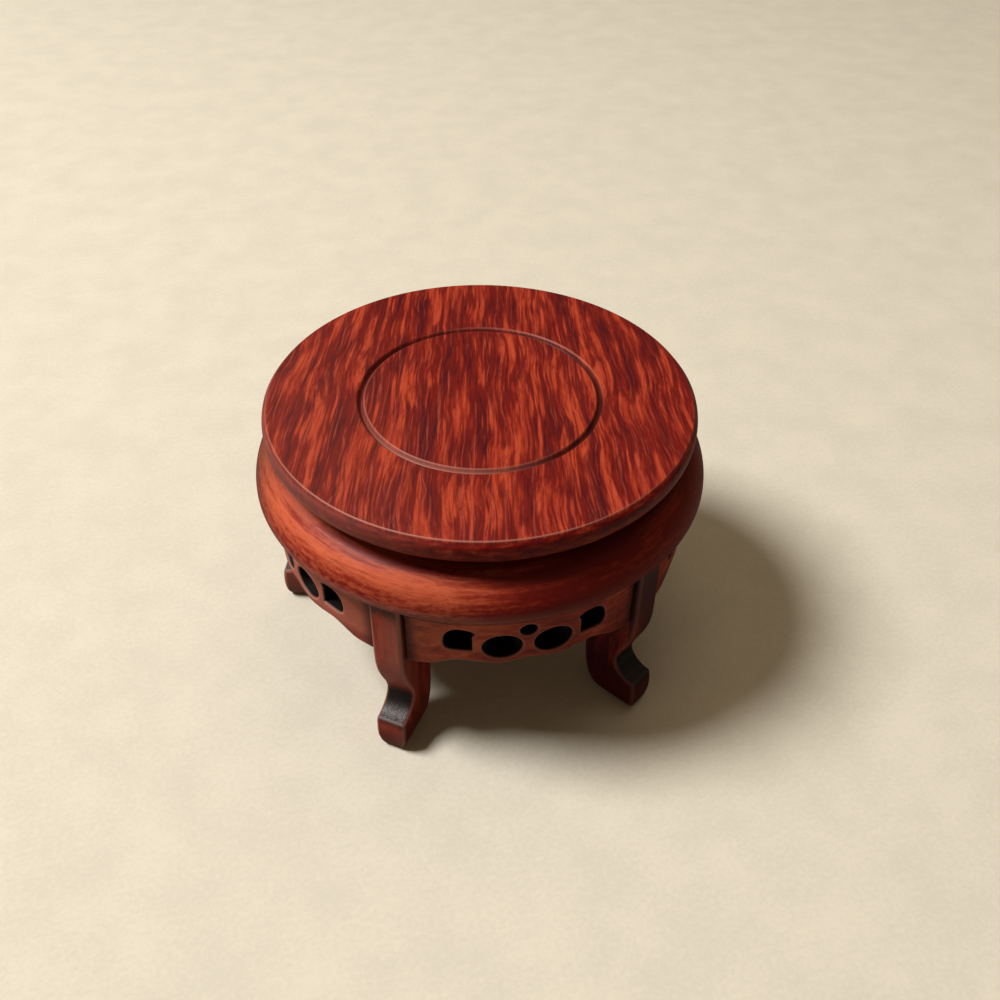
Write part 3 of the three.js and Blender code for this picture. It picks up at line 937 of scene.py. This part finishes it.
def ring_shape():
    """The turned ring, with a counterbore in its underside round each screw head."""
    bm = spin(ring_profile())
    layers = [bm.verts.layers.float[name] for name in ("rim", "stain_and_shade")]
    outlines = open_underside(bm)
    out = ((screw_low + screw_high) / 2).xy.length
    radius = (screw_high.x - screw_low.x) / 2 + SEAT_ROOM
    depth = screw_low.z + SCREW_HEAD_HEIGHT
    for azimuth in BAY_AZIMUTHS:
        centre = (out * math.cos(azimuth), out * math.sin(azimuth))
        rings = []
        for spread, height, rim in (
            (SINK_BEVEL, RING_BOTTOM, 0.4), (0, RING_BOTTOM + SINK_BEVEL, 0.4), (0, depth, 0),
        ):
            corners = circle(radius + spread, SINK_STEPS, centre)
            rings.append(add_ring(bm, layers, corners, height, [rim] * SINK_STEPS, [0] * SINK_STEPS))
        join_rings(bm, rings)
        bm.faces.new(rings[-1])
        outlines.append(rings[0])
    cap(bm, outlines)
    return bm


# Carved plates

def offset_loop(loop, amount):
    """A closed outline moved to its left by an amount, with mitred corners."""
    moved = []
    count = len(loop)
    for i in range(count):
        before = (loop[i] - loop[i - 1]).normalized()
        after = (loop[(i + 1) % count] - loop[i]).normalized()
        left = Vector((-before.y - after.y, before.x + after.x))
        if left.length < TINY:
            left = Vector((-before.y, before.x))
        left.normalize()
        spread = max(0.5, left.dot(Vector((-after.y, after.x))))
        moved.append(loop[i] + left * (amount / spread))
    return moved


def area_of(loop):
    return sum(loop[i - 1].cross(loop[i]) for i in range(len(loop))) / 2


def rounded_edge(half, radius, collar):
    """The section of a plate's edge, from its back to its front, as (inset, depth, rim) points."""
    front = [(0.0, half - radius, 0.0)]
    for k in range(1, ROUND_STEPS + 1):
        angle = math.pi / 2 * k / ROUND_STEPS
        inset = radius * (1 - math.cos(angle))
        depth = half - radius * (1 - math.sin(angle))
        # A pale line over each rounding, from rubbing and painted highlight
        front.append((inset, depth, math.sin(2 * angle) if k < ROUND_STEPS else 0.35))
    front.append((radius + collar, half, 0.0))
    return [(inset, -depth, rim) for inset, depth, rim in reversed(front)] + front


def slab(outer, holes, thickness, radius, collar, stain):
    """A plate with rounded rims, in its own plane, its thickness along Z about 0.

    A collar is a narrow flat strip inside each rounded rim. stain(point, is_hole) says how black
    the edge of the plate is at a point of an outline.
    """
    bm = bmesh.new()
    layers = layers_of(bm)
    backs, fronts = [], []
    for loop, is_hole in [(outer, False)] + [(hole, True) for hole in holes]:
        if (area_of(loop) > 0) == is_hole:
            loop = loop[::-1]
        blacks = [stain(point, is_hole) for point in loop]
        rings = []
        for inset, depth, rim in rounded_edge(thickness / 2, radius, collar):
            moved = offset_loop(loop, inset) if inset else loop
            fade = max(0.0, 1 - 2.5 * inset / radius)
            stains_and_shades = [black * fade for black in blacks]
            rings.append(add_ring(bm, layers, moved, depth, [rim] * len(loop), stains_and_shades))
        join_rings(bm, rings)
        backs.append(rings[0])
        fronts.append(rings[-1])
    cap(bm, backs)
    cap(bm, fronts)
    return bm


def spline(points, steps):
    """A smooth curve through points, with even steps between each pair."""
    result = []
    for i in range(len(points) - 1):
        a = Vector(points[max(i - 1, 0)])
        b, c = Vector(points[i]), Vector(points[i + 1])
        d = Vector(points[min(i + 2, len(points) - 1)])
        for k in range(steps):
            t = k / steps
            result.append(0.5 * (
                2 * b + (c - a) * t + (2 * a - 5 * b + 4 * c - d) * t * t
                + (3 * b - a - 3 * c + d) * t * t * t
            ))
    result.append(Vector(points[-1]))
    return result


def bezier(points, steps):
    """Points on one Bezier curve of any degree, without its start."""
    result = []
    for k in range(1, steps + 1):
        t = k / steps
        level = [Vector(point) for point in points]
        while len(level) > 1:
            level = [p.lerp(q, t) for p, q in zip(level, level[1:])]
        result.append(level[0])
    return result


# Aprons

def oval(wide, high):
    return [Vector((wide / 2 * x, high / 2 * y)) for x, y in circle(1, OVAL_STEPS)]


def end_hole(wide, high):
    """The hole by the leg, with +X towards the leg: square inside, with a spur, and round outside."""
    x, y = wide / 2, high / 2
    bend = 0.35
    points = [Vector((-x + (1 + bend) * x * k / 4, -y)) for k in range(5)]
    points += bezier([(bend * x, -y), (x, -y), (x, -bend * y)], 8)
    points += bezier([(x, -bend * y), (x, 0.8 * y), (0.1 * x, y)], 10)
    points += bezier([(0.1 * x, y), (-0.9 * x, y), (-1.2 * x, 0.6 * y)], 10)
    points += [Vector((-x, 0.35 * y)), Vector((-x, -0.3 * y))]
    return points


# Fretwork of one bay, in shares of half the clear bay and of the apron's depth.
# Each hole has its shape, its distance across and down, its width and its height.
FRETWORK = [
    (oval, 0.213, 0.665, 0.325, 0.44),
    (end_hole, 0.573, 0.52, 0.229, 0.4),
    (oval, 0, 0.378, 0.138, 0.2),
]
LOWER_EDGE = [
    (0, 0.936), (0.11, 0.974), (0.23, 1), (0.355, 0.98), (0.54, 0.933),
    (0.645, 0.968), (0.73, 1.03), (0.82, 1.085), (1, 1.12),
]


def mirrored(points):
    """The same points on the other side of X = 0, in turned order."""
    return [Vector((-point.x, point.y)) for point in reversed(points)]


def apron_flat():
    """The apron rolled out flat: X along the arc, Y up from the ring's underside."""
    half_arc = CLEAR_HALF_BAY * APRON_RADIUS
    reach = half_arc + JOINT_ROOM - LEG_GAP
    edge = [Vector((x * half_arc, -y * APRON_DEPTH)) for x, y in spline(LOWER_EDGE, 8)]
    edge[-1].x = reach
    side = [Vector((reach, -y)) for y in (14, 10, 6, 2, 0)]
    outer = mirrored(edge[1:]) + edge + side + mirrored(side)
    holes = []
    for shape, across, down, wide, high in FRETWORK:
        outline = shape(wide * half_arc, high * APRON_DEPTH)
        for sign in ((-1, 1) if across else (1,)):
            holes.append([
                Vector((sign * (across * half_arc + p.x), p.y - down * APRON_DEPTH)) for p in outline
            ])
    return outer, holes


def hole_black(point, is_hole):
    """The inside of every hole is black."""
    return float(is_hole)


def apron_shape(azimuth):
    """The pierced plate, with its band, bent round the stand's axis."""
    outer, holes = apron_flat()
    bm = slab(outer, holes, APRON_WALL, APRON_ROUND, APRON_COLLAR, hole_black)
    reach = max(point.x for point in outer)
    cuts = int(2 * reach / APRON_CUT_STEP)
    for i in range(1, cuts):
        cut_across(bm, (-reach + 2 * reach * i / cuts, 0, 0), (1, 0, 0))
    for beyond in (-0.5, -0.15, 0.15, 0.45):
        cut_across(bm, (0, -(BAND_HEIGHT + beyond), 0), (0, 1, 0))
    for vert in bm.verts:
        along, up, depth = vert.co
        radius = APRON_RADIUS - APRON_WALL / 2 + depth
        if depth > 0:
            rise = (up + BAND_HEIGHT + BAND_FADE / 2) / BAND_FADE
            rise = min(max(rise, 0), 1)
            radius += BAND_PROUD * rise * rise * (3 - 2 * rise)
        angle = azimuth + along / APRON_RADIUS
        vert.co = (radius * math.cos(angle), radius * math.sin(angle), RING_BOTTOM + up)
    return bm


# Legs

def leg_outline():
    """The leg from the side: X is the distance from the axis and Y the height."""
    above = RING_BOTTOM + 2
    rise = RING_BOTTOM - ANKLE_HEIGHT
    ankle = LEG_FRONT - ANKLE_INSET
    sole_end = LEG_FRONT + SOLE_FRONT
    heel = sole_end - SOLE_LENGTH
    toe_front = (TOE, 0.62 * TOE_HEIGHT)
    toe_corner = (TOE - 0.3, 0.93 * TOE_HEIGHT)
    toe_top = (TOE - 1.1, TOE_HEIGHT + 0.05)
    ankle_front = (ankle + 0.1, ANKLE_HEIGHT + 0.9)
    shin = (LEG_FRONT, ANKLE_HEIGHT + 0.50 * rise)
    points = [Vector((LEG_BACK, y)) for y in (above, 40, 32, 24, ANKLE_HEIGHT)]
    points += bezier([
        (LEG_BACK, ANKLE_HEIGHT), (LEG_BACK, 0.55 * TOE_HEIGHT),
        (LEG_BACK + 0.35 * (heel - LEG_BACK), 0), (heel, 0),
    ], 16)
    points += [Vector((heel + SOLE_LENGTH / 2, 0)), Vector((sole_end, 0))]
    points += bezier([(sole_end, 0), (TOE - 0.6, 0), (TOE, 0.28 * TOE_HEIGHT), toe_front], 12)
    points += bezier([toe_front, (TOE, 0.8 * TOE_HEIGHT), toe_corner], 5)
    points += bezier([toe_corner, (TOE - 0.45, TOE_HEIGHT), toe_top], 4)
    points += bezier([
        toe_top, (ankle + 2.4, TOE_HEIGHT + 0.35), (ankle - 0.25, ANKLE_HEIGHT - 1.6), ankle_front,
    ], 16)
    points += bezier([
        ankle_front, (ankle + 0.8, ANKLE_HEIGHT + 0.15 * rise),
        (LEG_FRONT - 0.1, ANKLE_HEIGHT + 0.24 * rise), shin,
    ], 18)
    points += [Vector((LEG_FRONT, y)) for y in (42, 46, above)]
    return points


def scoop_stain(point, is_hole):
    """The scoop over the toe is blackened, and fades out up the shin and down the toe's front."""
    if point.x < LEG_FRONT - ANKLE_INSET - 2:
        return 0.0
    if point.y >= TOE_HEIGHT:
        return min(1.0, max(0.0, (ANKLE_HEIGHT + SHIN_FADE - point.y) / SHIN_FADE))
    if point.x > TOE - 1.5:
        return max(0.0, 1 - (TOE_HEIGHT - point.y) / TOE_FADE)
    return 0.0


def leg_shape(azimuth):
    """A plate cut level under the ring, narrowed to its sole and turned to its azimuth."""
    bm = slab(leg_outline(), [], LEG_WIDTH, LEG_ROUND, LEG_COLLAR, scoop_stain)
    for height in (0.1, 0.25, 0.5, 0.8, 1.2, 1.7, 2.3, 3.0, 3.8, 4.6):
        cut_across(bm, (0, height, 0), (0, 1, 0))
    cut_across(bm, (0, RING_BOTTOM, 0), (0, 1, 0), clear=True)
    bmesh.ops.holes_fill(bm, edges=[edge for edge in bm.edges if edge.is_boundary], sides=0)
    turn = Matrix.Rotation(azimuth, 3, "Z")
    for vert in bm.verts:
        out, up, side = vert.co
        if up < SOLE_ROUND:
            drop = 1 - up / SOLE_ROUND
            side *= 1 - SOLE_TAPER * (1 - math.sqrt(1 - drop * drop))
        vert.co = turn @ Vector((out, side, up))
    return bm


# Floor and light

FLOOR_REACH_M = 4.0
LAMP_AIM = 40
KEY_LIGHT = (1.0, 0.985, 0.965)
WARM_LIGHT = (1.0, 0.81, 0.58)
ROOM_LIGHT = (1.0, 0.78, 0.51)
ROOM_STRENGTH = 0.105
BACKDROP_STRENGTH = 0.75


def make_floor():
    bm = bmesh.new()
    signs = ((-1, -1), (1, -1), (1, 1), (-1, 1))
    bm.faces.new([bm.verts.new((x * FLOOR_REACH_M, y * FLOOR_REACH_M, 0)) for x, y in signs])
    mesh = bpy.data.meshes.new("floor")
    bm.to_mesh(mesh)
    bm.free()
    mesh.materials.append(paper_floor())
    floor = bpy.data.objects.new("floor", mesh)
    bpy.context.scene.collection.objects.link(floor)


def make_lamp(name, azimuth, elevation, distance_m, size_m, power, colour):
    """A round lamp that looks at the stand from an azimuth and elevation in degrees."""
    data = bpy.data.lights.new(name, "AREA")
    data.shape = "DISK"
    data.size = size_m
    data.energy = power
    data.color = colour
    lamp = bpy.data.objects.new(name, data)
    bpy.context.scene.collection.objects.link(lamp)
    a, e = math.radians(azimuth), math.radians(elevation)
    direction = Vector((math.cos(a) * math.cos(e), math.sin(a) * math.cos(e), math.sin(e)))
    lamp.location = direction * distance_m + Vector((0, 0, LAMP_AIM * MM))
    lamp.rotation_euler = direction.to_track_quat("Z", "Y").to_euler()


def make_world():
    """Warm dim light from all round. The camera sees the paper's own colour there instead."""
    world = bpy.data.worlds.new("studio")
    world.use_nodes = True
    nodes, links = world.node_tree.nodes, world.node_tree.links
    room = nodes["Background"]
    room.inputs["Color"].default_value = (*ROOM_LIGHT, 1)
    room.inputs["Strength"].default_value = ROOM_STRENGTH
    backdrop = nodes.new("ShaderNodeBackground")
    backdrop.inputs["Color"].default_value = (*PAPER, 1)
    backdrop.inputs["Strength"].default_value = BACKDROP_STRENGTH
    path = nodes.new("ShaderNodeLightPath")
    choice = nodes.new("ShaderNodeMixShader")
    links.new(path.outputs["Is Camera Ray"], choice.inputs[0])
    links.new(room.outputs[0], choice.inputs[1])
    links.new(backdrop.outputs[0], choice.inputs[2])
    links.new(choice.outputs[0], nodes["World Output"].inputs["Surface"])
    bpy.context.scene.world = world


make_camera()
make_floor()
make_lamp(
    "key_lamp", azimuth=169, elevation=56, distance_m=1.7, size_m=0.60, power=30.0, colour=KEY_LIGHT,
)
make_lamp(
    "soft_lamp", azimuth=40, elevation=78, distance_m=1.2, size_m=0.8, power=1.5, colour=WARM_LIGHT,
)
make_world()
bpy.context.scene.view_settings.view_transform = "Standard"

make_piece("board_turned", board_shape(), figured_board(), "top_board")
make_piece("waist_turned", spin(waist_profile()), waist_wood(), "waist_ring")
make_piece("ring_turned", ring_shape(), ring_wood(), "ring_moulding")
for number, (bay, corner) in enumerate(zip(BAY_AZIMUTHS, LEG_AZIMUTHS), start=1):
    make_piece(
        f"apron_carved_{number}", apron_shape(bay), apron_wood(number, bay + math.pi / 2),
        f"apron_{number}",
    )
    make_piece(
        f"leg_carved_{number}", leg_shape(corner), leg_wood(number, corner),
        f"leg_{number}", crease=LEG_CREASE,
    )
steel = screw_steel()
for number in range(1, LEG_COUNT + 1):
    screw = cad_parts[f"board_screw_{number}"]
    screw.data.materials.clear()
    screw.data.materials.append(steel)
